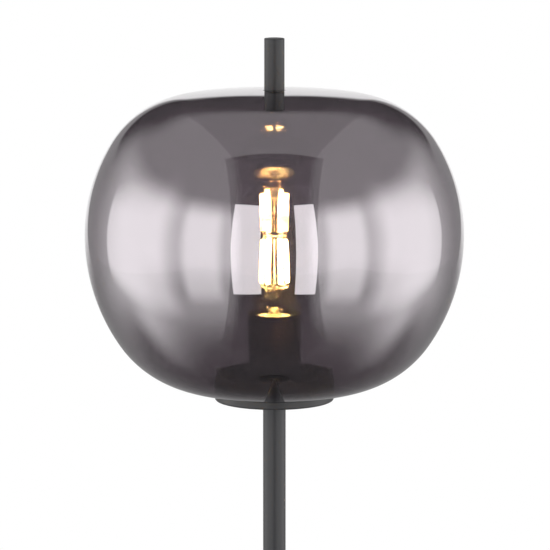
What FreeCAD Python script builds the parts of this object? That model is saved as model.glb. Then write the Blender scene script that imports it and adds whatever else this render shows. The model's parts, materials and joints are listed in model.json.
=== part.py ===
import FreeCAD, Part
import math
import os
import re

import Sketcher
from FreeCAD import Rotation, Vector

# Floor lamp with a blown glass globe on a slim pole, its glass lifted off for a change of bulb.
# Millimetres, +Z up, origin at the middle of the underside of the base. The cord leaves at +Y.

os.makedirs("parts", exist_ok=True)
doc = FreeCAD.newDocument("globe_floor_lamp")
sheet = doc.addObject("Spreadsheet::Sheet", "Sizes")
nodes = []

sizes = {
    # clearances
    "fit_gap": 0.05,  # radial, between round pieces of one body
    "seat_gap": 0.2,  # between pieces that part when the glass or the bulb comes off
    "slide_gap": 0.4,  # radial, between the neck ring and the cup that it slides over
    # base
    "base_radius": 140.0,
    "base_height": 24.0,
    "cover_wall": 1.2,
    "cover_round": 4.0,
    "cover_lift": 1.5,
    "pad_thickness": 2.5,
    "pad_inset": 1.5,
    "weight_inset": 0.6,
    "pocket_radius": 36.0,
    "web_thickness": 3.0,
    "channel_width": 14.0,
    "channel_depth": 13.5,
    # cord inlet, clamp and terminals
    "inlet_height": 9.5,
    "inlet_bore": 3.5,
    "bushing_radius": 6.0,
    "bushing_depth": 9.4,
    "flange_radius": 7.5,
    "flange_thickness": 1.6,
    "clamp_length": 30.0,
    "clamp_width": 9.0,
    "clamp_thickness": 2.5,
    "clamp_inset": 36.0,
    "clamp_screw_radius": 1.5,
    "clamp_screw_spread": 11.5,
    "clamp_screw_length": 11.0,
    "clamp_head_radius": 2.6,
    "clamp_head_height": 0.8,
    "clamp_play": 1.0,  # round the bar in its recess, and past the tips of its screws
    "terminal_width": 18.0,
    "terminal_length": 16.0,
    "terminal_room": 1.8,  # under the block, for the heads of its screws
    "terminal_place": 15.0,
    "terminal_hole_depth": 5.0,
    "terminal_screw_radius": 1.6,
    "terminal_screw_height": 1.0,
    # threaded tube and its fittings
    "thread_radius": 5.0,
    "nipple_bore": 4.0,
    "nipple_grip": 12.0,
    "nipple_tail": 1.0,
    "nut_flats": 14.0,
    "nut_height": 4.0,
    "washer_radius": 14.0,
    "washer_thickness": 1.5,
    # pole
    "pole_radius": 9.0,
    "pole_wall": 1.2,
    "bush_length": 14.0,
    # glass holder
    "holder_height": 1311.4,
    "plate_radius": 47.3,
    "plate_thickness": 6.5,
    "plate_round": 1.6,
    "cup_radius": 44.2,
    "cup_wall": 1.0,
    "cup_height": 16.0,
    "window_width": 9.0,
    "window_height": 2.4,
    "window_level": 9.3,
    "window_angle": 35.0,
    "window_depth": 4.0,
    "clip_width": 9.0,
    "clip_thickness": 0.5,
    "clip_leg": 11.0,
    "clip_crest": 1.7,
    "clip_reach": 2.5,
    "clip_tip_reach": 1.4,
    "clip_tip_drop": 1.2,
    "clip_bend": 1.0,
    # lampholder
    "foot_radius": 17.0,
    "foot_bore": 13.0,
    "foot_floor": 2.0,
    "foot_height": 13.5,
    "collar_radius": 15.5,
    "collar_height": 6.0,
    "sleeve_radius": 21.0,
    "sleeve_wall": 1.2,
    "sleeve_height": 48.8,
    "sleeve_round": 0.5,
    "insulator_height": 9.0,
    "shell_radius": 13.45,
    "shell_wall": 0.45,
    "shell_height": 28.0,
    "shell_eye": 9.6,
    "liner_height": 30.0,
    "contact_width": 6.0,
    "contact_thickness": 0.6,
    "contact_rise": 4.0,
    "contact_start": 8.6,
    "contact_ramp": 4.3,
    "contact_end": 4.3,
    "contact_bend": 1.0,
    "contact_screw_radius": 1.9,
    "contact_screw_height": 1.4,
    "contact_screw_place": 6.2,
    "shell_screw_place": 11.3,
    # wiring inside the pole
    "wire_radius": 1.1,
    "wire_offset": 2.0,
    "wire_bend": 6.0,
    "wire_grip": 4.0,
    # glass globe: five tangent arcs, each to the angle at which its outline has turned from level,
    # with radii that are shares of the globe's own; the shoulder's follows from the others
    "globe_radius": 150.0,
    "crown_share": 3.6867,
    "crown_angle": 7.5,
    "shoulder_angle": 57.9,
    "upper_share": 0.9287,
    "lower_share": 1.008,
    "lower_angle": 124.7,
    "foot_share": 0.576,
    "glass_wall": 2.2,
    "neck_radius": 45.8,
    "crown_hole": 5.5,
    # rubber ring round the neck
    "ring_radius": 47.3,
    "ring_floor": 2.05,
    "ring_shoulder": 5.0,
    "ring_tip": 9.3,
    "ring_tip_width": 0.8,
    # handle tube on top of the glass
    "finial_radius": 8.0,
    "finial_wall": 1.5,
    "finial_length": 40.0,
    "finial_cap_height": 2.0,
    "finial_round": 0.5,
    "finial_bush_length": 12.0,
    "finial_washer": 1.5,
    "stud_radius": 4.0,
    "stud_grip": 10.0,
    "finial_nut_height": 10.6,
    "finial_nut_round": 1.5,
    "finial_nut_floor": 2.0,
    # bulb
    "bulb_radius": 30.4,
    "bulb_wall": 0.7,
    "bulb_centre": 77.8,
    "neck_width": 15.4,
    "neck_height": 31.2,
    "throat_radius": 13.45,
    "throat_height": 27.8,
    "throat_foot": 26.4,
    "cap_radius": 13.15,
    "cap_wall": 0.35,
    "cap_foot": 5.5,
    "cap_rim_radius": 13.9,
    "cap_rim_height": 27.0,
    "cap_taper": 1.2,
    "tip_radius": 4.5,
    "tip_height": 1.2,
    "cone_foot_radius": 5.2,
    "cone_top_radius": 10.6,
    "deck_thickness": 2.4,
    "stem_radius": 6.0,
    "stem_waist": 2.6,
    "stem_flare": 7.0,
    "stem_height": 21.0,
    "filament_radius": 1.1,
    "filament_foot_height": 51.4,
    "filament_length": 38.5,
    "filament_foot_spread": 10.4,
    "filament_top_spread": 8.8,
    "lead_radius": 0.35,
    "hub_radius": 1.2,
}

pole_sections = 3
clip_count = 4
filament_count = 6
turn = 360.0
same = 1e-4  # two lengths nearer than this are one

# heights and widths worked out from the sizes, in the sheet's own words
cover_underside = "base_height - cover_wall"
weight_radius = "base_radius - cover_wall - weight_inset"
pocket_roof = "base_height - cover_wall - web_thickness"
terminal_height = f"({pocket_roof} - pad_thickness - terminal_room)"
base_nut_foot = f"{pocket_roof} - washer_thickness - nut_height"
nipple_foot = f"{base_nut_foot} - nipple_tail"
thread_hole = "thread_radius + fit_gap"
section_length = f"(holder_height - base_height) / {pole_sections}"
bush_radius = "pole_radius - pole_wall - fit_gap"
plate_top = "holder_height + plate_thickness"
cup_floor = f"{plate_top} + cup_wall"
cup_top = f"{plate_top} + cup_height"
step_level = f"{cup_floor} + foot_height"
insulator_foot = f"{step_level} + collar_height"
insulator_top = f"{insulator_foot} + insulator_height"
sleeve_bore = "sleeve_radius - sleeve_wall"
ring_foot = f"{plate_top} + seat_gap"
glass_foot = f"{ring_foot} + ring_floor"
crown_arc = "(globe_radius * crown_share)"
upper_arc = "(globe_radius * upper_share)"
lower_arc = "(globe_radius * lower_share)"
foot_arc = "(globe_radius * foot_share)"
shoulder_arc = (
    f"((globe_radius - {crown_arc} * sin(crown_angle) - {upper_arc} * (1 - sin(shoulder_angle)))"
    " / (sin(shoulder_angle) - sin(crown_angle)))"
)
glass_height = (
    f"({crown_arc} * (1 - cos(crown_angle))"
    f" + {shoulder_arc} * (cos(crown_angle) - cos(shoulder_angle))"
    f" + {upper_arc} * cos(shoulder_angle) - {lower_arc} * cos(lower_angle)"
    f" + {foot_arc} * (1 + cos(lower_angle)))"
)
glass_top = f"{glass_foot} + {glass_height}"
finial_foot = f"{glass_top} + finial_washer"
inner_arc = f"({crown_arc} - glass_wall)"
crown_sag = f"({inner_arc} - sqrt({inner_arc} * {inner_arc} - finial_radius * finial_radius))"
inner_washer_foot = f"{glass_top} - glass_wall - {crown_sag} - finial_washer"
finial_nut_foot = f"{inner_washer_foot} - finial_nut_height"
bulb_foot = f"{insulator_top} + contact_thickness + contact_rise + seat_gap"


def fill_sheet():
    for row, (name, number) in enumerate(sizes.items(), start=1):
        sheet.set(f"A{row}", name)
        sheet.set(f"B{row}", str(number))
        sheet.setAlias(f"B{row}", name)
    doc.recompute()


def value(formula):
    return float(sheet.evalExpression(formula))


def bound(formula):
    """The formula as other objects of the document write it."""
    return re.sub(r"[a-z_]+", lambda word: f"Sizes.{word[0]}" if word[0] in sizes else word[0], formula)


def bind(thing, **formulas):
    for place, formula in formulas.items():
        thing.setExpression(place.replace("__", "."), bound(formula))
    return thing


def node(thing, name):
    thing.Label = name
    nodes.append(thing)
    return thing


def origin_plane(body, role):
    return next(plane for plane in body.Origin.OriginFeatures if plane.Role == role)


def pin(sketch, corner, direction, formula):
    """Holds one coordinate of a corner of the outline at the formula's value."""
    axis = -2 if direction == "DistanceX" else -1
    if formula == "0":
        sketch.addConstraint(Sketcher.Constraint("PointOnObject", corner, 1, axis))
        return
    rule = sketch.addConstraint(Sketcher.Constraint(direction, -1, 1, corner, 1, value(formula)))
    sketch.setExpression(f"Constraints[{rule}]", bound(formula))


def outline(body, name, corners, role="XZ_Plane"):
    """A closed sketch with straight sides whose corners are pairs of formulas."""
    sketch = body.newObject("Sketcher::SketchObject", name)
    sketch.AttachmentSupport = (origin_plane(body, role), [""])
    sketch.MapMode = "FlatFace"
    points = [Vector(value(across), value(up), 0) for across, up in corners]
    count = len(points)
    for index in range(count):
        sketch.addGeometry(Part.LineSegment(points[index], points[(index + 1) % count]))
    for index in range(count):
        sketch.addConstraint(Sketcher.Constraint("Coincident", index, 2, (index + 1) % count, 1))
    for index, (across, up) in enumerate(corners):
        pin(sketch, index, "DistanceX", across)
        pin(sketch, index, "DistanceY", up)
    return sketch


def turned(name, corners, foot="0", rounds=()):
    """A piece turned about Z: half its section, the height of its foot, and (corner, radius) pairs."""
    body = doc.addObject("PartDesign::Body", name)
    half = outline(body, name + "_half", corners)
    solid = body.newObject("PartDesign::Revolution", name + "_turned")
    solid.Profile = half
    solid.ReferenceAxis = (half, ["V_Axis"])
    solid.Angle = turn
    bind(body, Placement__Base__z=foot)
    for corner, radius in rounds:
        solid = rounded(body, solid, corners[corner], radius)
    body.Tip = solid
    return body


def rounded(body, solid, corner, radius):
    """Rounds the circular edge that the corner of the outline sweeps."""
    doc.recompute()
    across, up = (value(part) for part in corner)
    edges = [
        f"Edge{index}"
        for index, edge in enumerate(solid.Shape.Edges, start=1)
        if isinstance(edge.Curve, Part.Circle)
        and abs(edge.Curve.Radius - across) < same
        and abs(edge.Curve.Center.z - up) < same
    ]
    fillet = body.newObject("PartDesign::Fillet", solid.Name + "_round")
    fillet.Base = (solid, edges)
    return bind(fillet, Radius=radius)


def tube(name, outer, inner, length, foot, rounds=()):
    corners = [(inner, "0"), (outer, "0"), (outer, length), (inner, length)]
    return turned(name, corners, foot, rounds)


def disc(name, radius, height, foot):
    return turned(name, [("0", "0"), (radius, "0"), (radius, height), ("0", height)], foot)


def moved(thing, x, y, z):
    return bind(thing, Placement__Base__x=x, Placement__Base__y=y, Placement__Base__z=z)


def cylinder(name, radius, height, foot, x="0", y="0"):
    tool = doc.addObject("Part::Cylinder", name)
    bind(tool, Radius=radius, Height=height)
    return moved(tool, x, y, foot)


def box(name, size, corner):
    tool = doc.addObject("Part::Box", name)
    bind(tool, Length=size[0], Width=size[1], Height=size[2])
    return moved(tool, *corner)


def crossways(name, radius, length, y, z, x="0"):
    """A cylinder that lies along +Y."""
    tool = cylinder(name, radius, length, z, x, y)
    tool.Placement.Rotation = Rotation(Vector(1, 0, 0), -90)
    return tool


def cut(name, base, tools):
    result = doc.addObject("Part::Cut", name)
    result.Base = base
    result.Tool = joined(name + "_tools", tools)
    return result


def joined(name, pieces):
    if len(pieces) == 1:
        return pieces[0]
    result = doc.addObject("Part::MultiFuse", name)
    result.Shapes = pieces
    return result


def group(name, pieces):
    result = doc.addObject("Part::Compound", name)
    result.Links = pieces
    return result


def shaped(name, shape, place=None):
    """A piece whose form is worked out here from sizes read in the sheet."""
    thing = doc.addObject("Part::Feature", name)
    thing.Shape = shape
    if place is not None:
        thing.Placement = place
    return thing


def threaded_tube(name, length, foot):
    return tube(name, "thread_radius", "nipple_bore", length, foot)


def nut(name, foot):
    prism = doc.addObject("Part::Prism", name + "_hexagon")
    prism.Polygon = 6
    bind(prism, Circumradius="nut_flats / sqrt(3)", Height="nut_height", Placement__Base__z=foot)
    return cut(name, prism, [cylinder(name + "_bore", thread_hole, "nut_height", foot)])


def rounded_path(points, bend):
    """Straight runs through the points, with tangent arcs of one radius at the inner ones."""
    edges = []
    start = points[0]
    for before, corner, after in zip(points, points[1:], points[2:]):
        back = (before - corner).normalize()
        ahead = (after - corner).normalize()
        half = back.getAngle(ahead) / 2
        reach = bend / math.tan(half)
        inward = (back + ahead).normalize()
        middle = corner + inward * (bend / math.sin(half) - bend)
        edges.append(Part.makeLine(start, corner + back * reach))
        edges.append(Part.Arc(corner + back * reach, middle, corner + ahead * reach).toShape())
        start = corner + ahead * reach
    edges.append(Part.makeLine(start, points[-1]))
    return Part.Wire(edges)


def strip(points, bend, thickness, width):
    """Sheet metal bent along a path in the XZ plane, its width along Y."""
    path = rounded_path(points, bend)
    along = (points[1] - points[0]).normalize()
    across = Vector(0, width / 2, 0)
    aside = along.cross(Vector(0, 1, 0)) * (thickness / 2)
    steps = (-across - aside, across - aside, across + aside, aside - across)
    corners = [points[0] + step for step in steps]
    section = Part.makePolygon(corners + corners[:1])
    return path.makePipeShell([section], True, False)


def arc(centre, radius, start, end):
    """An arc in the XZ plane between two angles from straight up."""
    angles = [math.radians(part) for part in (start, (start + end) / 2, end)]
    points = [centre + Vector(math.sin(part), 0, math.cos(part)) * radius for part in angles]
    return Part.Arc(*points).toShape()


def line(start, end):
    return Part.makeLine(start, end)


def revolve(edges):
    face = Part.Face(Part.Wire(Part.__sortEdges__(edges)))
    return face.revolve(Vector(0, 0, 0), Vector(0, 0, 1), turn)


def edge_angle(radius, across):
    """The angle from straight up at which an arc about the axis reaches a distance from it."""
    return math.degrees(math.asin(across / radius))


# ---- base ----


def make_base():
    inner = "base_radius - cover_wall"
    height = "base_height - cover_lift"
    shell = turned(
        "cover_shell",
        [
            (thread_hole, f"{height} - cover_wall"),
            (inner, f"{height} - cover_wall"),
            (inner, "0"),
            ("base_radius", "0"),
            ("base_radius", height),
            (thread_hole, height),
        ],
        "cover_lift",
        rounds=[(4, "cover_round"), (1, "cover_round - cover_wall")],
    )
    hole = "bushing_radius + fit_gap"
    start = f"{inner} - flange_radius"
    window = crossways("inlet_window", hole, "flange_radius * 2", start, "inlet_height")
    node(cut("base_cover", shell, [window]), "base_cover")
    node(disc("floor_pad", "base_radius - cover_wall - pad_inset", "pad_thickness", "0"), "floor_pad")
    make_weight()
    reach = f"base_height - ({nipple_foot}) + nipple_grip"
    node(threaded_tube("base_nipple", reach, nipple_foot), "base_nipple")
    washer_foot = f"{pocket_roof} - washer_thickness"
    washer = tube("base_washer", "washer_radius", thread_hole, "washer_thickness", washer_foot)
    node(washer, "base_washer")
    node(nut("base_nut", base_nut_foot), "base_nut")


clamp_place = "base_radius - clamp_inset"
clamp_line = f"{clamp_place} + clamp_width / 2"
clamp_sides = (("left", "-clamp_screw_spread"), ("right", "clamp_screw_spread"))
clamp_hole = "clamp_screw_radius + fit_gap"
clamp_foot = "pad_thickness + clamp_head_height + seat_gap"


def make_weight():
    thickness = f"{cover_underside} - pad_thickness"
    slug = turned(
        "weight_slug",
        [(thread_hole, "0"), (weight_radius, "0"), (weight_radius, thickness), (thread_hole, thickness)],
        "pad_thickness",
        rounds=[(2, "cover_round")],
    )
    depth = f"{pocket_roof} - pad_thickness"
    pocket = cylinder("weight_pocket", "pocket_radius", depth, "pad_thickness")
    channel = box(
        "weight_channel",
        ("channel_width", "base_radius", "channel_depth"),
        ("-channel_width / 2", "0", "pad_thickness"),
    )
    recess = box(
        "clamp_recess",
        (
            "clamp_length + 2 * clamp_play",
            "clamp_width + 2 * clamp_play",
            f"{clamp_foot} - pad_thickness + clamp_thickness",
        ),
        ("-clamp_length / 2 - clamp_play", f"{clamp_place} - clamp_play", "pad_thickness"),
    )
    tools = [pocket, channel, recess]
    deep = "clamp_screw_length + clamp_play"
    for side, x in clamp_sides:
        hole = cylinder(f"clamp_hole_{side}", clamp_hole, deep, "pad_thickness", x, clamp_line)
        tools.append(hole)
    node(cut("base_weight", slug, tools), "base_weight")


def make_cord_entry():
    length = "bushing_depth + flange_thickness"
    start = "base_radius - bushing_depth"
    level = "inlet_height"
    barrel = crossways("bushing_barrel", "bushing_radius", length, start, level)
    flange = crossways("bushing_flange", "flange_radius", "flange_thickness", "base_radius", level)
    bore = crossways("bushing_bore", "inlet_bore", length, start, level)
    bushing = cut("cord_bushing", joined("bushing_body", [barrel, flange]), [bore])
    node(bushing, "cord_bushing")
    bar = box(
        "clamp_bar",
        ("clamp_length", "clamp_width", "clamp_thickness"),
        ("-clamp_length / 2", clamp_place, clamp_foot),
    )
    holes = []
    screws = []
    head_foot = f"{clamp_foot} - clamp_head_height"
    for side, x in clamp_sides:
        spot = (x, clamp_line)
        holes.append(cylinder(f"bar_hole_{side}", clamp_hole, "clamp_thickness", clamp_foot, *spot))
        shank = cylinder(f"shank_{side}", "clamp_screw_radius", "clamp_screw_length", clamp_foot, *spot)
        head = cylinder(f"head_{side}", "clamp_head_radius", "clamp_head_height", head_foot, *spot)
        screws.append(joined(f"clamp_screw_{side}", [shank, head]))
    node(cut("cord_clamp", bar, holes), "cord_clamp")
    node(group("cord_clamp_screws", screws), "cord_clamp_screws")
    make_terminals()


wire_level = f"{nipple_foot} - wire_bend"
wire_sides = (("live", "-wire_offset"), ("neutral", "wire_offset"))


def make_terminals():
    foot = "pad_thickness + terminal_room"
    block = box(
        "terminal_housing",
        ("terminal_width", "terminal_length", terminal_height),
        ("-terminal_width / 2", "terminal_place", foot),
    )
    holes = []
    screws = []
    radius = "terminal_screw_radius"
    height = "terminal_screw_height"
    bore = "wire_radius + seat_gap"
    start = "terminal_place"
    middle = "terminal_place + terminal_length / 2"
    for side, x in wire_sides:
        hole = crossways(f"terminal_{side}", bore, "terminal_hole_depth", start, wire_level, x)
        holes.append(hole)
        screws.append(cylinder(f"screw_{side}", radius, height, f"{foot} - {height}", x, middle))
    node(cut("terminal_block", block, holes), "terminal_block")
    node(group("terminal_screws", screws), "terminal_screws")


# ---- pole ----


def make_pole():
    names = ("pole_lower", "pole_middle", "pole_upper")
    for index, name in enumerate(names):
        foot = f"base_height + {index} * {section_length}"
        node(tube(name, "pole_radius", "pole_radius - pole_wall", section_length, foot), name)
        ends = (foot, f"{foot} + {section_length} - bush_length")
        for place, level in enumerate(ends, start=1):
            bush = f"pole_bush_{2 * index + place}"
            node(tube(bush, bush_radius, thread_hole, "bush_length", level), bush)
    for index, name in enumerate(("joint_nipple_lower", "joint_nipple_upper"), start=1):
        middle = f"base_height + {index} * {section_length}"
        node(threaded_tube(name, "2 * nipple_grip", f"{middle} - nipple_grip"), name)


# ---- glass holder ----


def make_holder():
    plate = tube(
        "holder_plate",
        "plate_radius",
        thread_hole,
        "plate_thickness",
        "holder_height",
        rounds=[(1, "plate_round"), (2, "plate_round / 2")],
    )
    node(plate, "holder_plate")
    cup = turned(
        "cup_shell",
        [
            (thread_hole, "0"),
            ("cup_radius", "0"),
            ("cup_radius", "cup_height"),
            ("cup_radius - cup_wall", "cup_height"),
            ("cup_radius - cup_wall", "cup_wall"),
            (thread_hole, "cup_wall"),
        ],
        plate_top,
    )
    node(cut("gallery_cup", cup, cup_windows()), "gallery_cup")
    make_clips()
    top = f"{cup_floor} + foot_floor + nut_height + nipple_tail"
    foot = "holder_height - nipple_grip"
    node(threaded_tube("top_nipple", f"{top} - ({foot})", foot), "top_nipple")
    node(nut("lampholder_nut", f"{cup_floor} + foot_floor"), "lampholder_nut")


def cup_windows():
    """A pair of windows beside each spring clip, on the sides of the cup."""
    tools = []
    for clip in range(clip_count):
        for side in (-1, 1):
            name = f"window_{clip}_{'left' if side < 0 else 'right'}"
            tool = box(
                name,
                ("window_depth", "window_width", "window_height"),
                ("0", "0", f"{plate_top} + window_level"),
            )
            angle = f"({clip} * {turn} / {clip_count} + {side} * window_angle)"
            reach = "(cup_radius - cup_wall / 2 - window_depth / 2)"
            bind(
                tool,
                Placement__Rotation__Angle=angle,
                Placement__Base__x=f"{reach} * cos{angle} + window_width / 2 * sin{angle}",
                Placement__Base__y=f"{reach} * sin{angle} - window_width / 2 * cos{angle}",
            )
            tools.append(tool)
    return tools


def make_clips():
    """Leaf springs welded inside the cup, bent over its lip to hold the rubber ring down."""
    lip = value(cup_top)
    wall = value("cup_radius")
    bore = value("cup_radius - cup_wall")
    edge = value("clip_width / 2")
    inside = math.sqrt(bore**2 - edge**2) - value("fit_gap + clip_thickness / 2")
    crest = lip + value("clip_crest")
    path = [
        Vector(inside, 0, lip - value("clip_leg")),
        Vector(inside, 0, crest),
        Vector(wall + value("clip_reach"), 0, crest),
        Vector(wall + value("clip_tip_reach"), 0, lip - value("clip_tip_drop")),
    ]
    spring = strip(path, value("clip_bend"), value("clip_thickness"), value("clip_width"))
    for index in range(clip_count):
        name = f"spring_clip_{index + 1}"
        place = FreeCAD.Placement(Vector(0, 0, 0), Rotation(Vector(0, 0, 1), turn / clip_count * index))
        node(shaped(name, spring.copy(), place), name)


# ---- lampholder ----


def make_lampholder():
    foot = turned(
        "lampholder_foot",
        [
            (thread_hole, "0"),
            ("foot_radius", "0"),
            ("foot_radius", "foot_height"),
            ("collar_radius", "foot_height"),
            ("collar_radius", "foot_height + collar_height"),
            ("foot_bore", "foot_height + collar_height"),
            ("foot_bore", "foot_floor"),
            (thread_hole, "foot_floor"),
        ],
        cup_floor,
    )
    node(foot, "lampholder_foot")
    sleeve = turned(
        "lampholder_sleeve",
        [
            ("collar_radius + fit_gap", "0"),
            ("sleeve_radius", "0"),
            ("sleeve_radius", "sleeve_height"),
            (sleeve_bore, "sleeve_height"),
            (sleeve_bore, "sleeve_wall"),
            ("collar_radius + fit_gap", "sleeve_wall"),
        ],
        step_level,
        rounds=[(2, "sleeve_round"), (1, "sleeve_round")],
    )
    node(sleeve, "lampholder_sleeve")
    snug = f"{sleeve_bore} - seat_gap"
    node(disc("lampholder_insulator", snug, "insulator_height", insulator_foot), "lampholder_insulator")
    shell_outer = "shell_radius + shell_wall"
    shell = turned(
        "thread_shell",
        [
            ("shell_eye", "0"),
            (shell_outer, "0"),
            (shell_outer, "shell_height"),
            ("shell_radius", "shell_height"),
            ("shell_radius", "shell_wall"),
            ("shell_eye", "shell_wall"),
        ],
        insulator_top,
    )
    node(shell, "thread_shell")
    liner = tube("lampholder_liner", snug, f"{shell_outer} + fit_gap", "liner_height", insulator_top)
    node(liner, "lampholder_liner")
    make_contacts()


def make_contacts():
    top = value(insulator_top)
    half = value("contact_thickness / 2")
    rise = value("contact_rise")
    start = value("contact_start")
    ramp = value("contact_ramp")
    path = [
        Vector(start, 0, top + half),
        Vector(ramp / 2, 0, top + half),
        Vector(-ramp / 2, 0, top + rise + half),
        Vector(-value("contact_end"), 0, top + rise + half),
    ]
    tongue = strip(path, value("contact_bend"), value("contact_thickness"), value("contact_width"))
    node(shaped("centre_contact", tongue), "centre_contact")
    contact_screw = cylinder(
        "tongue_screw",
        "contact_screw_radius",
        "contact_screw_height",
        f"{insulator_top} + contact_thickness",
        "contact_screw_place",
    )
    shell_screw = cylinder(
        "shell_screw",
        "contact_screw_radius",
        "contact_screw_height",
        f"{insulator_top} + shell_wall",
        "-shell_screw_place",
    )
    node(group("contact_screws", [contact_screw, shell_screw]), "contact_screws")


# ---- wiring held inside the pole ----


def make_wires():
    radius = value("wire_radius")
    low = value(wire_level)
    top = value(f"{insulator_foot} - fit_gap")
    end = value("terminal_place + wire_grip")
    for side, offset in wire_sides:
        x = value(offset)
        bends = [Vector(x, 0, top), Vector(x, 0, low), Vector(x, end, low)]
        path = rounded_path(bends, value("wire_bend"))
        section = Part.Wire(Part.makeCircle(radius, Vector(x, 0, top), Vector(0, 0, -1)))
        wire = path.makePipeShell([section], True, False)
        node(shaped(f"wire_{side}", wire), f"wire_{side}")


# ---- glass globe and its handle ----


def globe_arcs():
    """(centre, radius, first angle, last angle) of the outer arcs, from the crown to the floor."""
    radii = [value(part) for part in (crown_arc, shoulder_arc, upper_arc, lower_arc, foot_arc)]
    ends = [value(part) for part in ("crown_angle", "shoulder_angle", "90", "lower_angle", "180")]
    centre = Vector(0, 0, value(glass_top) - radii[0])
    start = 0.0
    arcs = []
    for index, (radius, end) in enumerate(zip(radii, ends)):
        if index:
            heading = math.radians(start)
            outward = Vector(math.sin(heading), 0, math.cos(heading))
            centre = centre + outward * (radii[index - 1] - radius)
        arcs.append((centre, radius, start, end))
        start = end
    return arcs


def make_globe():
    """Blown glass: two nested rows of tangent arcs, joined at the crown hole and the neck."""
    wall = value("glass_wall")
    hole = value("crown_hole")
    neck = value("neck_radius")
    edges = []
    ends = []
    for inset in (0.0, wall):
        first = None
        for centre, radius, start, end in globe_arcs():
            if first is None:
                start = edge_angle(radius - inset, hole)
                first = centre + Vector(hole, 0, math.cos(math.radians(start)) * (radius - inset))
            edges.append(arc(centre, radius - inset, start, end))
        floor = value(glass_foot) + inset
        last = Vector(neck, 0, floor)
        edges.append(line(Vector(centre.x, 0, floor), last))
        ends.append((first, last))
    edges.append(line(ends[0][0], ends[1][0]))
    edges.append(line(ends[0][1], ends[1][1]))
    node(shaped("globe_shade", revolve(edges)), "globe_shade")


def make_neck_ring():
    inner = "cup_radius + slide_gap"
    groove = "neck_radius - fit_gap"
    slot_top = "ring_floor + glass_wall"
    ring = turned(
        "neck_ring",
        [
            (inner, "0"),
            ("ring_radius", "0"),
            ("ring_radius", "ring_floor"),
            (groove, "ring_floor"),
            (groove, slot_top),
            ("ring_radius", slot_top),
            ("ring_radius", f"{slot_top} + ring_shoulder"),
            (f"{inner} + ring_tip_width", f"{slot_top} + ring_tip"),
            (inner, f"{slot_top} + ring_tip"),
        ],
        ring_foot,
    )
    node(ring, "neck_ring")


def make_finial():
    bore = "finial_radius - finial_wall"
    stud_hole = "stud_radius + fit_gap"
    for name, level in (("finial_outer_washer", glass_top), ("finial_inner_washer", inner_washer_foot)):
        node(tube(name, "finial_radius", stud_hole, "finial_washer", level), name)
    barrel = "finial_length - finial_cap_height"
    node(tube("finial_tube", "finial_radius", bore, barrel, finial_foot), "finial_tube")
    top = "finial_cap_height"
    cap = turned(
        "finial_cap",
        [("0", "0"), ("finial_radius", "0"), ("finial_radius", top), ("0", top)],
        f"{finial_foot} + {barrel}",
        rounds=[(2, "finial_round")],
    )
    node(cap, "finial_cap")
    bush = tube("finial_bush", f"{bore} - fit_gap", stud_hole, "finial_bush_length", finial_foot)
    node(bush, "finial_bush")
    thimble = turned(
        "finial_nut",
        [
            ("0", "0"),
            ("finial_radius", "0"),
            ("finial_radius", "finial_nut_height"),
            (stud_hole, "finial_nut_height"),
            (stud_hole, "finial_nut_floor"),
            ("0", "finial_nut_floor"),
        ],
        finial_nut_foot,
        rounds=[(1, "finial_nut_round")],
    )
    node(thimble, "finial_nut")
    stud_foot = f"{finial_nut_foot} + finial_nut_floor + fit_gap"
    stud_length = f"{finial_foot} + stud_grip - ({stud_foot})"
    node(disc("finial_stud", "stud_radius", stud_length, stud_foot), "finial_stud")


# ---- bulb ----


def bulb_outline(inset):
    """The pear outline: throat, flare, hollow arc and ball, drawn in by the wall for the inside."""
    ball = value("bulb_radius")
    middle = value(f"{bulb_foot} + bulb_centre")
    neck = value("neck_width")
    neck_level = value(f"{bulb_foot} + neck_height")
    drop = middle - neck_level
    hollow = (drop**2 + neck**2 - ball**2) / (2 * (ball - neck))
    centre = Vector(neck + hollow, 0, neck_level)
    towards = math.degrees(math.atan2(centre.x, centre.z - middle))
    throat = value("throat_radius") - inset
    foot = Vector(throat, 0, value(f"{bulb_foot} + throat_foot"))
    shoulder = Vector(throat, 0, value(f"{bulb_foot} + throat_height"))
    edges = [
        line(foot, shoulder),
        line(shoulder, Vector(neck - inset, 0, neck_level)),
        arc(centre, hollow + inset, turn * 0.75, towards + turn / 2),
        arc(Vector(0, 0, middle), ball - inset, towards, 0),
    ]
    return edges, foot, Vector(0, 0, middle + ball - inset)


def make_bulb():
    outside, outer_foot, outer_top = bulb_outline(0.0)
    inside, inner_foot, inner_top = bulb_outline(value("bulb_wall"))
    edges = outside + inside + [line(outer_foot, inner_foot), line(outer_top, inner_top)]
    node(shaped("bulb_glass", revolve(edges)), "bulb_glass")
    node(disc("bulb_centre_contact", "tip_radius", "tip_height", bulb_foot), "bulb_centre_contact")
    cone_height = "cap_foot - tip_height"
    cone = turned(
        "bulb_insulator",
        [("0", "0"), ("cone_foot_radius", "0"), ("cone_top_radius", cone_height), ("0", cone_height)],
        f"{bulb_foot} + tip_height",
    )
    node(cone, "bulb_insulator")
    make_bulb_cap()
    make_stem()
    make_filaments()


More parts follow.
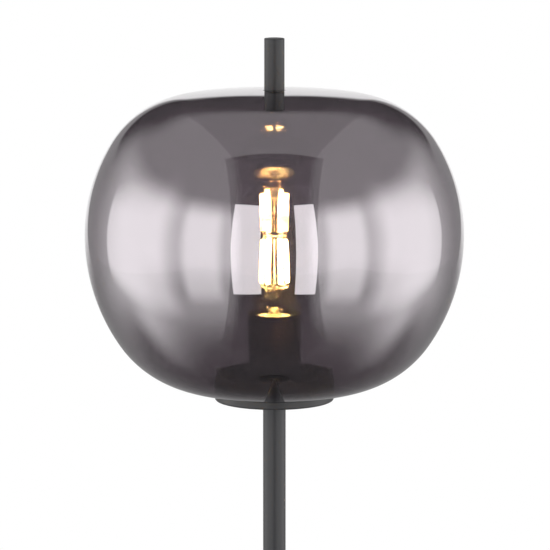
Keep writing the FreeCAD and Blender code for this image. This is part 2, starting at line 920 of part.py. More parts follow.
def make_bulb_cap():
    rim = "cap_rim_height - cap_foot"
    cap = turned(
        "bulb_cap",
        [
            ("0", "0"),
            ("cone_top_radius", "0"),
            ("cap_radius", "cap_taper"),
            ("cap_radius", f"{rim} - 2 * cap_taper"),
            ("cap_rim_radius", f"{rim} - cap_taper"),
            ("cap_rim_radius", rim),
            ("cap_rim_radius - cap_wall", rim),
            ("cap_rim_radius - cap_wall", f"{rim} - cap_taper + cap_wall"),
            ("cap_radius - cap_wall", f"{rim} - 2 * cap_taper + cap_wall"),
            ("cap_radius - cap_wall", "cap_taper + cap_wall"),
            ("cone_top_radius - cap_wall", "cap_wall"),
            ("0", "cap_wall"),
        ],
        f"{bulb_foot} + cap_foot",
    )
    node(cap, "bulb_cap")
    deck_radius = "throat_radius - bulb_wall - fit_gap"
    deck_foot = f"{bulb_foot} + cap_rim_height - deck_thickness"
    node(disc("bulb_deck", deck_radius, "deck_thickness", deck_foot), "bulb_deck")


def make_stem():
    stem = turned(
        "bulb_stem",
        [
            ("0", "0"),
            ("stem_radius", "0"),
            ("stem_waist", "stem_flare"),
            ("stem_waist", "stem_height"),
            ("0", "stem_height"),
        ],
        f"{bulb_foot} + cap_rim_height",
    )
    node(stem, "bulb_stem")


def rod(start, end, radius):
    return Part.makeCylinder(radius, start.distanceToPoint(end), start, end - start)


def make_filaments():
    """Straight glowing rods that lean in at the top, and the wires that hold them."""
    low = value(f"{bulb_foot} + filament_foot_height")
    high = low + value("filament_length")
    wire = value("lead_radius")
    stem_top = Vector(0, 0, value(f"{bulb_foot} + cap_rim_height + stem_height + seat_gap"))
    seat = Vector(0, 0, value("seat_gap"))
    lift = Vector(0, 0, value("hub_radius"))
    centre = Vector(0, 0, high) + lift
    rods = []
    frame = [Part.makeSphere(value("hub_radius"), centre), rod(stem_top, centre, wire)]
    for index in range(filament_count):
        angle = math.radians(turn / filament_count * index)
        out = Vector(math.cos(angle), math.sin(angle), 0)
        foot = out * value("filament_foot_spread") + Vector(0, 0, low)
        top = out * value("filament_top_spread") + Vector(0, 0, high)
        rods.append(rod(foot, top, value("filament_radius")))
        root = out * value("stem_waist / 2") + stem_top + Vector(0, 0, wire)
        frame.append(rod(root, foot - lift, wire))
        frame.append(rod(foot - lift, foot - seat, wire))
        frame.append(rod(top + seat, top + lift, wire))
        frame.append(rod(top + lift, centre, wire))
        frame.append(Part.makeSphere(wire, foot - lift))
        frame.append(Part.makeSphere(wire, top + lift))
    node(shaped("bulb_filaments", Part.makeCompound(rods)), "bulb_filaments")
    node(shaped("filament_wires", frame[0].multiFuse(frame[1:])), "filament_wires")


def check_and_write():
    doc.recompute()
    for thing in doc.Objects:
        if "Invalid" in thing.State or "Error" in thing.State:
            raise RuntimeError(f"{thing.Label} failed: {thing.State}")
    for thing in nodes:
        if thing.Shape.isNull() or not thing.Shape.isValid() or not thing.Shape.Solids:
            raise RuntimeError(f"{thing.Label} has no sound shape")
    for thing in nodes:
        thing.Shape.exportStep(f"parts/{thing.Label}.step")
        print(f"{thing.Label:24s} {len(thing.Shape.Solids)} solid {thing.Shape.Volume / 1000:10.3f} cm3")
    print(len(nodes), "pieces")


fill_sheet()
make_base()
make_cord_entry()
make_pole()
make_holder()
make_lampholder()
make_wires()
make_globe()
make_neck_ring()
make_finial()
make_bulb()
check_and_write()
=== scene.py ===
import json
import math

import bmesh
import bpy
from mathutils import Matrix, Vector


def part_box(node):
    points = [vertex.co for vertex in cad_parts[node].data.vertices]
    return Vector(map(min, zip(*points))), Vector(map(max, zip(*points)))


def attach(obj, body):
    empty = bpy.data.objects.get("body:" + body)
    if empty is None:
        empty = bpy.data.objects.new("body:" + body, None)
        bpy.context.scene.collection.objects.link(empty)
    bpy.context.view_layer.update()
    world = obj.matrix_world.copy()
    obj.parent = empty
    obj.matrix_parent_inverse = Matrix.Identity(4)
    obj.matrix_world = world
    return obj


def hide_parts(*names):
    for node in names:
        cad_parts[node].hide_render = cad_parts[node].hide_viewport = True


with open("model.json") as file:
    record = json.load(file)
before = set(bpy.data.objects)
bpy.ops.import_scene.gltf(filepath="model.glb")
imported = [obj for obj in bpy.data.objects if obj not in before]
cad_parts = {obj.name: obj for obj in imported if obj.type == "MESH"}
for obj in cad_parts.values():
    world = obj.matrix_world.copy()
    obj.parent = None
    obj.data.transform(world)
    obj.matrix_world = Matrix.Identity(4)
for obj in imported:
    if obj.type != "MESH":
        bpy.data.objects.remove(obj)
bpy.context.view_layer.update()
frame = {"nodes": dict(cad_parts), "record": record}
nodes = frame["nodes"]
slotOf = {row["node"]: row["material_slot"] for row in frame["record"]["subparts"]}
print("frame loaded:", len(nodes), "nodes")


# camera, at the place from which the lamp was seen

view = {
    "place": (0.0005, -3.506, 1.9588),  # metres
    "pitch": 81.13,  # degrees up from straight down
    "lens": 293.06,  # mm, on a sensor 36 mm wide
    "sensor": 36.0,
    "farthest": 60.0,  # metres
    "indirectClamp": 80.0,  # at the usual limit the light strips lose their glare behind the glass
}


def addCamera():
    data = bpy.data.cameras.new("viewCamera")
    data.lens = view["lens"]
    data.sensor_width = view["sensor"]
    data.clip_end = view["farthest"]
    eye = bpy.data.objects.new("viewCamera", data)
    eye.location = view["place"]
    eye.rotation_euler = (math.radians(view["pitch"]), 0.0, 0.0)
    bpy.context.scene.collection.objects.link(eye)
    bpy.context.scene.camera = eye


addCamera()
bpy.context.scene.view_settings.view_transform = "Standard"
bpy.context.scene.cycles.sample_clamp_indirect = view["indirectClamp"]
print("camera placed")


# small helpers for node trees and meshes


def addNode(tree, kind, **settings):
    # a node with its properties and its input values set; spaces in socket names are written as _
    node = tree.nodes.new(kind)
    for name, setting in settings.items():
        if hasattr(node, name):
            setattr(node, name, setting)
        else:
            node.inputs[name.replace("_", " ")].default_value = setting
    return node


def join(tree, source, target):
    tree.links.new(source, target)


def newMaterial(name, **settings):
    material = bpy.data.materials.new(name)
    material.use_nodes = True
    tree = material.node_tree
    tree.nodes.clear()
    shader = addNode(tree, "ShaderNodeBsdfPrincipled")
    for socket, setting in settings.items():
        shader.inputs[socket.replace("_", " ")].default_value = setting
    output = addNode(tree, "ShaderNodeOutputMaterial")
    join(tree, shader.outputs[0], output.inputs["Surface"])
    return material, tree, shader, output


def newGroup(name, inputs, outputs):
    group = bpy.data.node_groups.new(name, "ShaderNodeTree")
    for label, setting in inputs.items():
        socket = group.interface.new_socket(label, in_out="INPUT", socket_type="NodeSocketFloat")
        socket.default_value = setting
    for label in outputs:
        group.interface.new_socket(label, in_out="OUTPUT", socket_type="NodeSocketFloat")
    start = addNode(group, "NodeGroupInput")
    end = addNode(group, "NodeGroupOutput")
    return group, start, end


def placeGroup(tree, group, **settings):
    node = tree.nodes.new("ShaderNodeGroup")
    node.node_tree = group
    for label, setting in settings.items():
        node.inputs[label.replace("_", " ")].default_value = setting
    return node


def mixShaders(tree, share, first, second, output):
    # first where share is 0, second where it is 1
    blend = addNode(tree, "ShaderNodeMixShader")
    join(tree, share, blend.inputs["Fac"])
    join(tree, first.outputs[0], blend.inputs[1])
    join(tree, second.outputs[0], blend.inputs[2])
    join(tree, blend.outputs[0], output.inputs["Surface"])


def addPiece(name, mesh, body, slot, *replaced):
    piece = bpy.data.objects.new(name, mesh)
    bpy.context.scene.collection.objects.link(piece)
    mesh.materials.append(finishes[slot])
    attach(piece, body)
    if replaced:
        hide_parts(*replaced)


def toMesh(shape, name, smooth=True):
    bmesh.ops.recalc_face_normals(shape, faces=shape.faces)
    for face in shape.faces:
        face.smooth = smooth
    mesh = bpy.data.meshes.new(name)
    shape.to_mesh(mesh)
    shape.free()
    return mesh


def lastCorner(spun):
    return next(item for item in spun["geom_last"] if isinstance(item, bmesh.types.BMVert))


def spinRound(shape, steps, weld):
    # turns the whole outline once round the upright axis
    bmesh.ops.spin(
        shape, geom=shape.edges[:] + shape.verts[:], cent=(0, 0, 0), axis=(0, 0, 1), angle=math.tau,
        steps=steps, use_merge=True,
    )
    bmesh.ops.remove_doubles(shape, verts=shape.verts, dist=weld)


# surface effects that several finishes use

surface = {
    "dustColour": (0.42, 0.40, 0.37, 1.0),
    "dustFrom": 0.5,  # a face gathers dust from this much upward, where 1 is level
    "dustDetail": 6.0,
    "blotchDetail": 2.0,
    "glossSpread": 0.07,
    "leastRoughness": 0.03,
    "grainDepth": 0.0003,  # metres
    "markDepth": 0.0002,
    "markWander": 1.5,
    "markDetail": 2.0,
}


def makeGrain():
    inputs = {"Scale": 900.0, "Detail": 3.0, "Blotch": 9.0}
    group, start, end = newGroup("fineGrain", inputs, ("Height", "Tone"))
    place = addNode(group, "ShaderNodeTexCoord")
    fine = addNode(group, "ShaderNodeTexNoise")
    broad = addNode(group, "ShaderNodeTexNoise", Detail=surface["blotchDetail"])
    for noise, size in ((fine, "Scale"), (broad, "Blotch")):
        join(group, place.outputs["Object"], noise.inputs["Vector"])
        join(group, start.outputs[size], noise.inputs["Scale"])
    join(group, start.outputs["Detail"], fine.inputs["Detail"])
    join(group, fine.outputs["Fac"], end.inputs["Height"])
    join(group, broad.outputs["Fac"], end.inputs["Tone"])
    return group


def makeDust():
    # settles on what faces up, in loose patches
    group, start, end = newGroup("settledDust", {"Amount": 0.2, "Scale": 60.0}, ("Mask",))
    place = addNode(group, "ShaderNodeTexCoord")
    facing = addNode(group, "ShaderNodeNewGeometry")
    split = addNode(group, "ShaderNodeSeparateXYZ")
    join(group, facing.outputs["Normal"], split.inputs[0])
    upward = addNode(group, "ShaderNodeMapRange")
    upward.inputs["From Min"].default_value = surface["dustFrom"]
    join(group, split.outputs["Z"], upward.inputs["Value"])
    noise = addNode(group, "ShaderNodeTexNoise", Detail=surface["dustDetail"])
    join(group, place.outputs["Object"], noise.inputs["Vector"])
    join(group, start.outputs["Scale"], noise.inputs["Scale"])
    patch = addNode(group, "ShaderNodeMath", operation="MULTIPLY")
    join(group, upward.outputs["Result"], patch.inputs[0])
    join(group, noise.outputs["Fac"], patch.inputs[1])
    amount = addNode(group, "ShaderNodeMath", operation="MULTIPLY")
    join(group, patch.outputs[0], amount.inputs[0])
    join(group, start.outputs["Amount"], amount.inputs[1])
    join(group, amount.outputs[0], end.inputs["Mask"])
    return group


def makeLathe():
    # fine rings left by a turning tool, level round an upright axis
    group, start, end = newGroup("latheMarks", {"Scale": 900.0}, ("Height",))
    place = addNode(group, "ShaderNodeTexCoord")
    bands = addNode(
        group, "ShaderNodeTexWave", bands_direction="Z", Distortion=surface["markWander"],
        Detail=surface["markDetail"],
    )
    join(group, place.outputs["Object"], bands.inputs["Vector"])
    join(group, start.outputs["Scale"], bands.inputs["Scale"])
    join(group, bands.outputs["Fac"], end.inputs["Height"])
    return group


grain = makeGrain()
dust = makeDust()
lathe = makeLathe()
print("surface effects built")


# glass globe: smoke tinted and half mirrored

globe = {
    "radius": 0.150,  # metres
    "shares": (3.6867, None, 0.9287, 1.008, 0.576),  # arc radii; the shoulder's follows
    "turns": (7.5, 57.9, 90.0, 124.7, 180.0),  # degrees from level where each arc ends
    "wall": 0.0022,
    "hole": 0.0055,  # radius, in the crown
    "neck": 0.0458,  # radius of the opening at the foot
    "stepsPerArc": (14, 26, 20, 22, 26),
    "around": 192,
    "tint": (0.75, 0.71, 0.74, 1.0),
    "mirror": 0.48,
    "smoke": (0.12, 0.0, 0.08, 1.0),
    "depth": 140.0,  # absorption per metre of glass
    "roughness": 0.015,
    "ior": 1.5,
    "shadowTint": (0.75, 0.72, 0.75, 1.0),
    "weld": 1e-6,
}


def leaning(angle):
    # unit vector that leans over by this much from straight up
    return Vector((math.sin(angle), 0.0, math.cos(angle)))


def globeRadii():
    radii = [share * globe["radius"] if share else 0.0 for share in globe["shares"]]
    first, second = (math.sin(math.radians(a)) for a in globe["turns"][:2])
    left = globe["radius"] - radii[0] * first - radii[2] * (1.0 - second)
    radii[1] = left / (second - first)
    return radii


def globeArcs(top):
    # centre, radius, first and last angle of each arc, from the crown down
    radii = globeRadii()
    centre = Vector((0.0, 0.0, top - radii[0]))
    begun = 0.0
    arcs = []
    for index, (radius, ended) in enumerate(zip(radii, globe["turns"])):
        if index:
            centre = centre + leaning(math.radians(begun)) * (radii[index - 1] - radius)
        arcs.append((centre, radius, math.radians(begun), math.radians(ended)))
        begun = ended
    return arcs


def drawWall(shape, top, inset):
    # one side of the glass: a vertex spun along each arc in turn
    arcs = globeArcs(top)
    centre, radius = arcs[0][:2]
    begun = math.asin(globe["hole"] / (radius - inset))
    first = shape.verts.new(centre + leaning(begun) * (radius - inset))
    corner = first
    arcs[0] = (centre, radius, begun, arcs[0][3])  # the first arc starts at the edge of the hole
    for steps, (centre, _, start, end) in zip(globe["stepsPerArc"], arcs):
        spun = bmesh.ops.spin(
            shape, geom=[corner], cent=centre, axis=(0, 1, 0), angle=end - start, steps=steps, use_merge=False
        )
        corner = lastCorner(spun)
    grown = bmesh.ops.extrude_vert_indiv(shape, verts=[corner])
    last = grown["verts"][0]
    last.co = Vector((globe["neck"], 0.0, corner.co.z))
    return first, last


def makeGlobe():
    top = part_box("globe_shade")[1].z
    shape = bmesh.new()
    outside, inside = (drawWall(shape, top, inset) for inset in (0.0, globe["wall"]))
    for pair in zip(outside, inside):
        shape.edges.new(pair)
    spinRound(shape, globe["around"], globe["weld"])
    return toMesh(shape, "globeShade")


def passLamps(tree, shader, output, tint):
    # lamps shine through thin glass in a straight line
    path = addNode(tree, "ShaderNodeLightPath")
    clear = addNode(tree, "ShaderNodeBsdfTransparent", Color=tint)
    mixShaders(tree, path.outputs["Is Shadow Ray"], shader, clear, output)


def smokedGlass():
    material, tree, shader, output = newMaterial(
        "smokedGlass", Metallic=globe["mirror"], Transmission_Weight=1.0, IOR=globe["ior"],
        Roughness=globe["roughness"], Base_Color=globe["tint"],
    )
    smoke = addNode(tree, "ShaderNodeVolumeAbsorption", Color=globe["smoke"], Density=globe["depth"])
    join(tree, smoke.outputs[0], output.inputs["Volume"])
    passLamps(tree, shader, output, globe["shadowTint"])
    return material


# glass of the bulb

bulb = {
    "ball": 0.0304,  # radii and levels in metres, the levels over the foot of the bulb
    "centre": 0.0778,
    "neck": 0.0154,
    "neckLevel": 0.0312,
    "throat": 0.01345,  # straight part inside the cap
    "throatLevel": 0.0278,
    "throatFoot": 0.0264,
    "wall": 0.0007,
    "neckSteps": 22,
    "ballSteps": 44,
    "around": 96,
    "tint": (0.94, 0.90, 0.82, 1.0),
    "roughness": 0.0,
    "ior": 1.47,
    "shadowTint": (0.95, 0.94, 0.90, 1.0),
    "weld": 2e-6,
}


def drawBulbWall(shape, foot, inset):
    throat = bulb["throat"] - inset
    start = shape.verts.new((throat, 0.0, foot + bulb["throatFoot"]))
    shoulder = shape.verts.new((throat, 0.0, foot + bulb["throatLevel"]))
    neck = shape.verts.new((bulb["neck"] - inset, 0.0, foot + bulb["neckLevel"]))
    shape.edges.new((start, shoulder))
    shape.edges.new((shoulder, neck))
    drop = bulb["centre"] - bulb["neckLevel"]
    hollow = (drop**2 + bulb["neck"] ** 2 - bulb["ball"] ** 2) / (2 * (bulb["ball"] - bulb["neck"]))
    centre = Vector((bulb["neck"] + hollow, 0.0, foot + bulb["neckLevel"]))
    meet = math.atan2(drop, bulb["neck"] + hollow)
    rising = bmesh.ops.spin(
        shape, geom=[neck], cent=centre, axis=(0, 1, 0), angle=meet, steps=bulb["neckSteps"], use_merge=False
    )
    middle = Vector((0.0, 0.0, foot + bulb["centre"]))
    ball = bmesh.ops.spin(
        shape, geom=[lastCorner(rising)], cent=middle, axis=(0, 1, 0), angle=-(math.pi / 2 + meet),
        steps=bulb["ballSteps"], use_merge=False,
    )
    return start, lastCorner(ball)


def makeBulbGlass():
    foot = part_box("bulb_centre_contact")[0].z
    shape = bmesh.new()
    outer, inner = (drawBulbWall(shape, foot, inset) for inset in (0.0, bulb["wall"]))
    shape.edges.new((outer[0], inner[0]))
    for crown in (outer[1], inner[1]):
        crown.co.x = 0.0
    spinRound(shape, bulb["around"], bulb["weld"])
    return toMesh(shape, "bulbEnvelope")


def clearGlass():
    material, tree, shader, output = newMaterial(
        "clearGlass", Transmission_Weight=1.0, IOR=bulb["ior"], Roughness=bulb["roughness"],
        Base_Color=bulb["tint"],
    )
    passLamps(tree, shader, output, bulb["shadowTint"])
    return material


# light strips in the bulb: phosphor rods with a metal tab at each end

filaments = {
    "count": 6,
    "radius": 0.0019,
    "foot": 0.0514,  # level over the foot of the bulb
    "length": 0.0385,
    "footSpread": 0.0104,  # from the bulb's axis
    "topSpread": 0.0088,
    "rounding": 0.6,  # of the radius
    "tab": 0.0022,
    "tabRadius": 0.0007,
    "tabRounding": 0.3,
    "tabOverlap": 1.2,  # a tab is this many times as long as the room left for it
    "sides": 20,
    "rimSteps": 3,
    "glow": 900.0,  # emission strength
    "deepTone": (1.0, 0.66, 0.20, 1.0),
    "paleTone": (1.0, 0.80, 0.36, 1.0),
    "roughness": 0.55,
}


def addRod(shape, start, end, radius, rounding):
    # the rims of its two ends are rounded by a share of the radius
    way = end - start
    turn = way.to_track_quat("Z", "Y").to_matrix().to_4x4()
    made = bmesh.ops.create_cone(
        shape, cap_ends=True, segments=filaments["sides"], radius1=radius, radius2=radius,
        depth=way.length, matrix=Matrix.Translation((start + end) / 2) @ turn,
    )
    corners = set(made["verts"])
    rims = [
        edge for edge in shape.edges
        if edge.verts[0] in corners and any(len(face.verts) > 4 for face in edge.link_faces)
    ]
    bmesh.ops.bevel(
        shape, geom=rims, offset=radius * rounding, affect="EDGES", segments=filaments["rimSteps"],
        profile=0.5, material=-1,
    )


def rodEnds(index):
    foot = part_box("bulb_centre_contact")[0].z + filaments["foot"]
    angle = math.tau / filaments["count"] * index
    heading = Vector((math.cos(angle), math.sin(angle), 0.0))
    low = heading * filaments["footSpread"] + Vector((0.0, 0.0, foot))
    high = heading * filaments["topSpread"] + Vector((0.0, 0.0, foot + filaments["length"]))
    return low, high


def makeStrips():
    shape = bmesh.new()
    for index in range(filaments["count"]):
        low, high = rodEnds(index)
        inward = (high - low).normalized() * filaments["tab"]
        addRod(shape, low + inward, high - inward, filaments["radius"], filaments["rounding"])
    return toMesh(shape, "filamentStrips")


def makeTabs():
    shape = bmesh.new()
    for index in range(filaments["count"]):
        low, high = rodEnds(index)
        inward = (high - low).normalized() * filaments["tab"] * filaments["tabOverlap"]
        for start, end in ((low, low + inward), (high - inward, high)):
            addRod(shape, start, end, filaments["tabRadius"], filaments["tabRounding"])
    return toMesh(shape, "filamentTabs")


# solid finishes

lacquer = {"darkGrey": (0.046, 0.046, 0.050, 1.0), "black": (0.006, 0.0057, 0.0057, 1.0)}


def blendColours(tree, share, first, second):
    # first where share is 0, second where it is 1; a colour or a socket each
    blend = addNode(tree, "ShaderNodeMix", data_type="RGBA")
    join(tree, share, blend.inputs[0])
    for socket, part in ((blend.inputs[6], first), (blend.inputs[7], second)):
        if isinstance(part, tuple):
            socket.default_value = part
        else:
            join(tree, part, socket)
    return blend.outputs[2]


def shaded(colour, share):
    return tuple(min(1.0, part * share) for part in colour[:3]) + (1.0,)


def finish(name, colour, roughness, metallic=0.0, bump=0.05, scale=800.0, vary=0.12, soil=0.10, turned=0.0):
    # colour and gloss vary softly, dust settles on top, and lathe marks run round where turned is over 0
    material, tree, shader, _ = newMaterial(name, Metallic=metallic)
    grains = placeGroup(tree, grain, Scale=scale)
    settled = placeGroup(tree, dust, Amount=soil)
    tone = blendColours(tree, grains.outputs["Tone"], shaded(colour, 1.0 - vary), shaded(colour, 1.0 + vary))
    dusted = blendColours(tree, settled.outputs["Mask"], tone, surface["dustColour"])
    join(tree, dusted, shader.inputs["Base Color"])
    gloss = addNode(tree, "ShaderNodeMapRange")
    gloss.inputs["To Min"].default_value = max(surface["leastRoughness"], roughness - surface["glossSpread"])
    gloss.inputs["To Max"].default_value = min(1.0, roughness + surface["glossSpread"])
    join(tree, grains.outputs["Tone"], gloss.inputs["Value"])
    dulled = addNode(tree, "ShaderNodeMath", operation="ADD", use_clamp=True)
    join(tree, gloss.outputs["Result"], dulled.inputs[0])
    join(tree, settled.outputs["Mask"], dulled.inputs[1])
    join(tree, dulled.outputs[0], shader.inputs["Roughness"])
    relief = addNode(tree, "ShaderNodeBump", Strength=bump, Distance=surface["grainDepth"])
    join(tree, grains.outputs["Height"], relief.inputs["Height"])
    if turned:
        marks = addNode(tree, "ShaderNodeBump", Strength=turned, Distance=surface["markDepth"])
        join(tree, placeGroup(tree, lathe).outputs["Height"], marks.inputs["Height"])
        join(tree, relief.outputs["Normal"], marks.inputs["Normal"])
        relief = marks
    join(tree, relief.outputs["Normal"], shader.inputs["Normal"])
    return material


def glowingFilament():
    # yellow phosphor over a strip of small chips
    material, tree, shader, _ = newMaterial(
        "filament", Roughness=filaments["roughness"], Emission_Strength=filaments["glow"]
    )
    chips = placeGroup(tree, grain, Scale=1400.0, Blotch=500.0)
    tone = blendColours(tree, chips.outputs["Tone"], filaments["deepTone"], filaments["paleTone"])
    for socket in ("Base Color", "Emission Color"):
        join(tree, tone, shader.inputs[socket])
    return material


finishes = {
    "dark_lacquer": finish("darkLacquer", lacquer["darkGrey"], 0.38, bump=0.10, scale=1500.0, soil=0.06),
    "black_lacquer": finish("blackLacquer", lacquer["black"], 0.14, bump=0.02, scale=1500.0, soil=0.02),
    "cast_weight": finish("castCement", (0.33, 0.32, 0.30, 1.0), 0.85, bump=0.5, scale=250.0, vary=0.25),
    "foam_pad": finish("foamPad", (0.03, 0.03, 0.03, 1.0), 0.9, bump=0.4, scale=900.0, vary=0.3),
    "steel": finish("zincSteel", (0.62, 0.62, 0.60, 1.0), 0.32, 1.0, turned=0.25),
    "spring_steel": finish("springSteel", (0.05, 0.05, 0.052, 1.0), 0.3, 0.8, soil=0.02),
    "brass": finish("turnedBrass", (0.78, 0.60, 0.30, 1.0), 0.28, 1.0, turned=0.3),
    "black_plastic": finish("blackPlastic", (0.02, 0.02, 0.02, 1.0), 0.45, bump=0.12, scale=2200.0),
    "white_plastic": finish("whitePlastic", (0.80, 0.80, 0.76, 1.0), 0.45, bump=0.08, vary=0.04),
    "steatite": finish("steatite", (0.78, 0.75, 0.68, 1.0), 0.7, bump=0.2, scale=1200.0, vary=0.08),
    "wire_brown": finish("brownWire", (0.20, 0.09, 0.04, 1.0), 0.4),
    "wire_blue": finish("blueWire", (0.05, 0.16, 0.45, 1.0), 0.4),
    "smoked_glass": smokedGlass(),
    "black_rubber": finish(
        "blackRubber", (0.012, 0.012, 0.012, 1.0), 0.35, bump=0.1, scale=1800.0, soil=0.03
    ),
    "clear_glass": clearGlass(),
    "bulb_metal": finish("bulbMetal", (0.75, 0.74, 0.70, 1.0), 0.25, 1.0, turned=0.15),
    "dark_glass": finish("darkVitrite", (0.03, 0.03, 0.04, 1.0), 0.15, bump=0.03, vary=0.3),
    "bulb_deck": finish("bulbDeck", (0.90, 0.86, 0.74, 1.0), 0.5, bump=0.05, vary=0.05, soil=0.0),
    "filament": glowingFilament(),
}

for nodeName, node in nodes.items():
    for spot in node.material_slots:
        spot.material = finishes[slotOf[nodeName]]
print("finishes given to", len(nodes), "nodes")

addPiece("globeShade", makeGlobe(), "globe", "smoked_glass", "globe_shade")
addPiece("bulbEnvelope", makeBulbGlass(), "bulb", "clear_glass", "bulb_glass")
addPiece("filamentStrips", makeStrips(), "bulb", "filament", "bulb_filaments")
addPiece("filamentTabs", makeTabs(), "bulb", "bulb_metal")
print("glass and filaments made")


# floor

stage = {
    "floorHalf": 5.0,
    "floorTone": (0.8, 0.8, 0.8, 1.0),
    "floorRoughness": 0.6,
    "floorShare": 0.6,  # of the floor's own glow in what the camera sees of it
}


def addFloor():
    shape = bmesh.new()
    bmesh.ops.create_grid(shape, x_segments=1, y_segments=1, size=stage["floorHalf"])
    floor = bpy.data.objects.new("floor", toMesh(shape, "floor", smooth=False))
    bpy.context.scene.collection.objects.link(floor)
    material, tree, shader, output = newMaterial(
        "paleFloor", Base_Color=stage["floorTone"], Roughness=stage["floorRoughness"]
    )
    glow = addNode(tree, "ShaderNodeEmission", Strength=1.0)
    path = addNode(tree, "ShaderNodeLightPath")
    share = addNode(tree, "ShaderNodeMath", operation="MULTIPLY")
    share.inputs[1].default_value = stage["floorShare"]
    join(tree, path.outputs["Is Camera Ray"], share.inputs[0])
    mixShaders(tree, share.outputs[0], shader, glow, output)
    floor.data.materials.append(material)
    floor.visible_glossy = False  # mirrors show the painted room instead


# room that the glass and metal mirror, painted by direction: in a direction of length 1, across is its
# distance from the middle, depth leads away from the viewer, and height goes up

studio = {
    "ceiling": 0.21,  # brightness of each part, where 1 is white
    "sides": 0.31,
    "band": 0.75,  # more light level with the globe
    "floorGlow": 0.62,
    "farBelow": 0.18,
    "below": 0.03,
    "viewerSide": 0.02,
    "sweep": 1.0,
    "ceilingEdge": (0.015, -0.015),  # where each edge begins, and where it ends
    "ceilingFoot": (0.40, 0.60),
    "ceilingSlope": 0.42,  # the ceiling widens with height
    "bandTop": (0.52, 0.28),
    "bandDepth": (0.85, 0.20),
    "glowTop": (-0.10, -0.45),
    "glowDepth": (0.15, -0.30),
    "farTop": (-0.30, -0.65),
    "farDepth": (0.10, 0.45),
    "belowTop": (-0.50, -0.92),
    "viewerDepth": (-0.33, -0.37),
    "viewerWidth": (0.440, 0.425),
    "viewerFade": (0.42, 0.30, 0.5, 1.0),  # from half to full
    "gapFoot": (0.165, 0.225),  # dark gap over the sweep
    "gapTop": (0.74, 0.50),
    "gapDepth": (0.30, 0.60),
    "gapWidth": (0.70, 0.35),
    "sweepTop": (0.245, 0.195),
    "sweepSlope": 0.9,  # its top comes down to the sides
    "sweepFoot": (-0.25, -0.10),
    "sweepDepth": (0.74, 0.97),
}


def ramp(tree, source, low, high, start=0.0, end=1.0):
    # smooth step of a number between two levels
    step = addNode(tree, "ShaderNodeMapRange", interpolation_type="SMOOTHSTEP")
    for label, setting in (("From Min", low), ("From Max", high), ("To Min", start), ("To Max", end)):
        step.inputs[label].default_value = setting
    join(tree, source, step.inputs["Value"])
    return step.outputs["Result"]


def times(tree, first, second):
    product = addNode(tree, "ShaderNodeMath", operation="MULTIPLY")
    join(tree, first, product.inputs[0])
    join(tree, second, product.inputs[1])
    return product.outputs[0]


def addScaled(tree, source, factor, other):
    # source times factor, plus other
    total = addNode(tree, "ShaderNodeMath", operation="MULTIPLY_ADD")
    total.inputs[1].default_value = factor
    join(tree, source, total.inputs[0])
    join(tree, other, total.inputs[2])
    return total.outputs[0]


def magnitude(tree, source):
    size = addNode(tree, "ShaderNodeMath", operation="ABSOLUTE")
    join(tree, source, size.inputs[0])
    return size.outputs[0]


def blendValues(tree, share, first, second):
    # first where share is 0, second where it is 1; a number or a socket each
    blend = addNode(tree, "ShaderNodeMix")
    join(tree, share, blend.inputs[0])
    for socket, part in ((blend.inputs[2], first), (blend.inputs[3], second)):
        if isinstance(part, float):
            socket.default_value = part
        else:
            join(tree, part, socket)
    return blend.outputs[0]


def zone(tree, *edges):
    # 1 inside all of the soft edges; each is a socket and the name of the edge
    masks = [ramp(tree, source, *studio[name]) for source, name in edges]
    mask = masks.pop(0)
    for other in masks:
        mask = times(tree, mask, other)
    return mask


def studioTone(tree):
    # a dim room with a white sweep behind the lamp and a dark side where the viewer stands
    place = addNode(tree, "ShaderNodeTexCoord")
    split = addNode(tree, "ShaderNodeSeparateXYZ")
    join(tree, place.outputs["Generated"], split.inputs[0])
    sideways, depth, height = split.outputs
    across = magnitude(tree, sideways)
    spread = addScaled(tree, height, -studio["ceilingSlope"], across)
    overhead = zone(tree, (spread, "ceilingEdge"), (height, "ceilingFoot"))
    room = blendValues(tree, overhead, studio["sides"], studio["ceiling"])
    level = zone(tree, (height, "bandTop"), (depth, "bandDepth"))
    room = addScaled(tree, level, studio["band"], room)
    sunken = addScaled(tree, across, studio["sweepSlope"], height)
    layers = (
        ("floorGlow", ((height, "glowTop"), (depth, "glowDepth"))),
        ("farBelow", ((height, "farTop"), (depth, "farDepth"))),
        ("below", ((height, "belowTop"),)),
        ("viewerSide", ((depth, "viewerDepth"), (across, "viewerWidth"), (across, "viewerFade"))),
        ("viewerSide", ((height, "gapFoot"), (height, "gapTop"), (depth, "gapDepth"), (across, "gapWidth"))),
        ("sweep", ((depth, "sweepDepth"), (sunken, "sweepTop"), (height, "sweepFoot"))),
    )
    for tone, edges in layers:
        room = blendValues(tree, zone(tree, *edges), room, studio[tone])
    return room


def paintWorld():
    world = bpy.data.worlds.new("studio")
    bpy.context.scene.world = world
    world.use_nodes = True
    tree = world.node_tree
    tree.nodes.clear()
    path = addNode(tree, "ShaderNodeLightPath")
    shown = addNode(tree, "ShaderNodeMath", operation="MAXIMUM")
    join(tree, path.outputs["Is Camera Ray"], shown.inputs[0])
    join(tree, path.outputs["Is Transmission Ray"], shown.inputs[1])
    white = addNode(tree, "ShaderNodeBackground", Color=(1.0, 1.0, 1.0, 1.0), Strength=1.0)
    room = addNode(tree, "ShaderNodeBackground", Color=(1.0, 1.0, 1.0, 1.0))
    join(tree, studioTone(tree), room.inputs["Strength"])
    mixShaders(tree, shown.outputs[0], room, white, addNode(tree, "ShaderNodeOutputWorld"))


# lamps: two soft boxes at each side, and a narrow panel at each side of the viewer

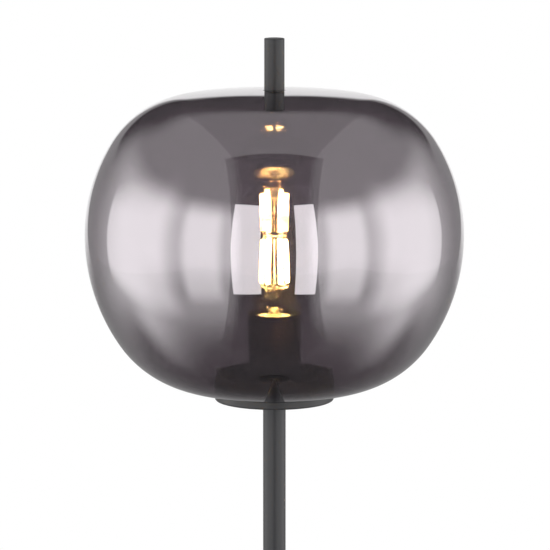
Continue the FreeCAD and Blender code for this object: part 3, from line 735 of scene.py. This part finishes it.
softboxes = {
    "sideSoftbox": {
        "place": (1.92, 0.495, 1.36),  # of the right one; the left one mirrors it
        "heading": 51.622,  # degrees
        "size": (2.95, 1.96),
        "radiance": 0.66,
        "softEdges": (0.12, 0.36, 0.27),  # across, above and below, as shares of the size
    },
    "frontSoftbox": {
        "place": (1.377, -1.451, 1.36),
        "heading": 41.5,
        "size": (1.10, 2.50),
        "radiance": 0.56,
        "softEdges": (0.26, 0.28, 0.20),
    },
}
panels = {
    # turn is in degrees from the viewer's side
    "leftPanel": {"turn": -16.5, "size": (0.60, 2.03), "radiance": 1.38},
    "rightPanel": {"turn": 18.7, "size": (0.44, 2.03), "radiance": 1.42},
}
panelDistance = 2.0
panelHeight = 1.485


def softEdges(data, across, above, below):
    # the light falls away towards the lamp's edges
    data.use_nodes = True
    tree = data.node_tree
    glow = next(node for node in tree.nodes if node.type == "EMISSION")
    place = addNode(tree, "ShaderNodeNewGeometry")
    split = addNode(tree, "ShaderNodeSeparateXYZ")
    join(tree, place.outputs["Parametric"], split.inputs[0])
    wide, tall = split.outputs[:2]
    mask = ramp(tree, wide, 0.0, across)
    for source, low, high in ((wide, 1.0, 1.0 - across), (tall, 0.0, below), (tall, 1.0, 1.0 - above)):
        mask = times(tree, mask, ramp(tree, source, low, high))
    join(tree, mask, glow.inputs["Strength"])


def addLamp(name, spot, heading, size, radiance):
    data = bpy.data.lights.new(name, "AREA")
    data.shape = "RECTANGLE"
    data.size, data.size_y = size
    data.energy = radiance * size[0] * size[1] * math.pi
    lamp = bpy.data.objects.new(name, data)
    lamp.location = spot
    lamp.rotation_euler = (math.radians(90.0), 0.0, heading)
    lamp.visible_camera = False
    bpy.context.scene.collection.objects.link(lamp)
    return data


def addLamps():
    for name, box in softboxes.items():
        x, y, middle = box["place"]
        for side, label in ((1.0, "Right"), (-1.0, "Left")):
            heading = side * math.radians(box["heading"])
            data = addLamp(name + label, (side * x, y, middle), heading, box["size"], box["radiance"])
            softEdges(data, *box["softEdges"])
    for name, panel in panels.items():
        angle = math.radians(panel["turn"])
        spot = (panelDistance * math.sin(angle), -panelDistance * math.cos(angle), panelHeight)
        addLamp(name, spot, angle, panel["size"], panel["radiance"])


addFloor()
paintWorld()
addLamps()
print("stage and lamps set")
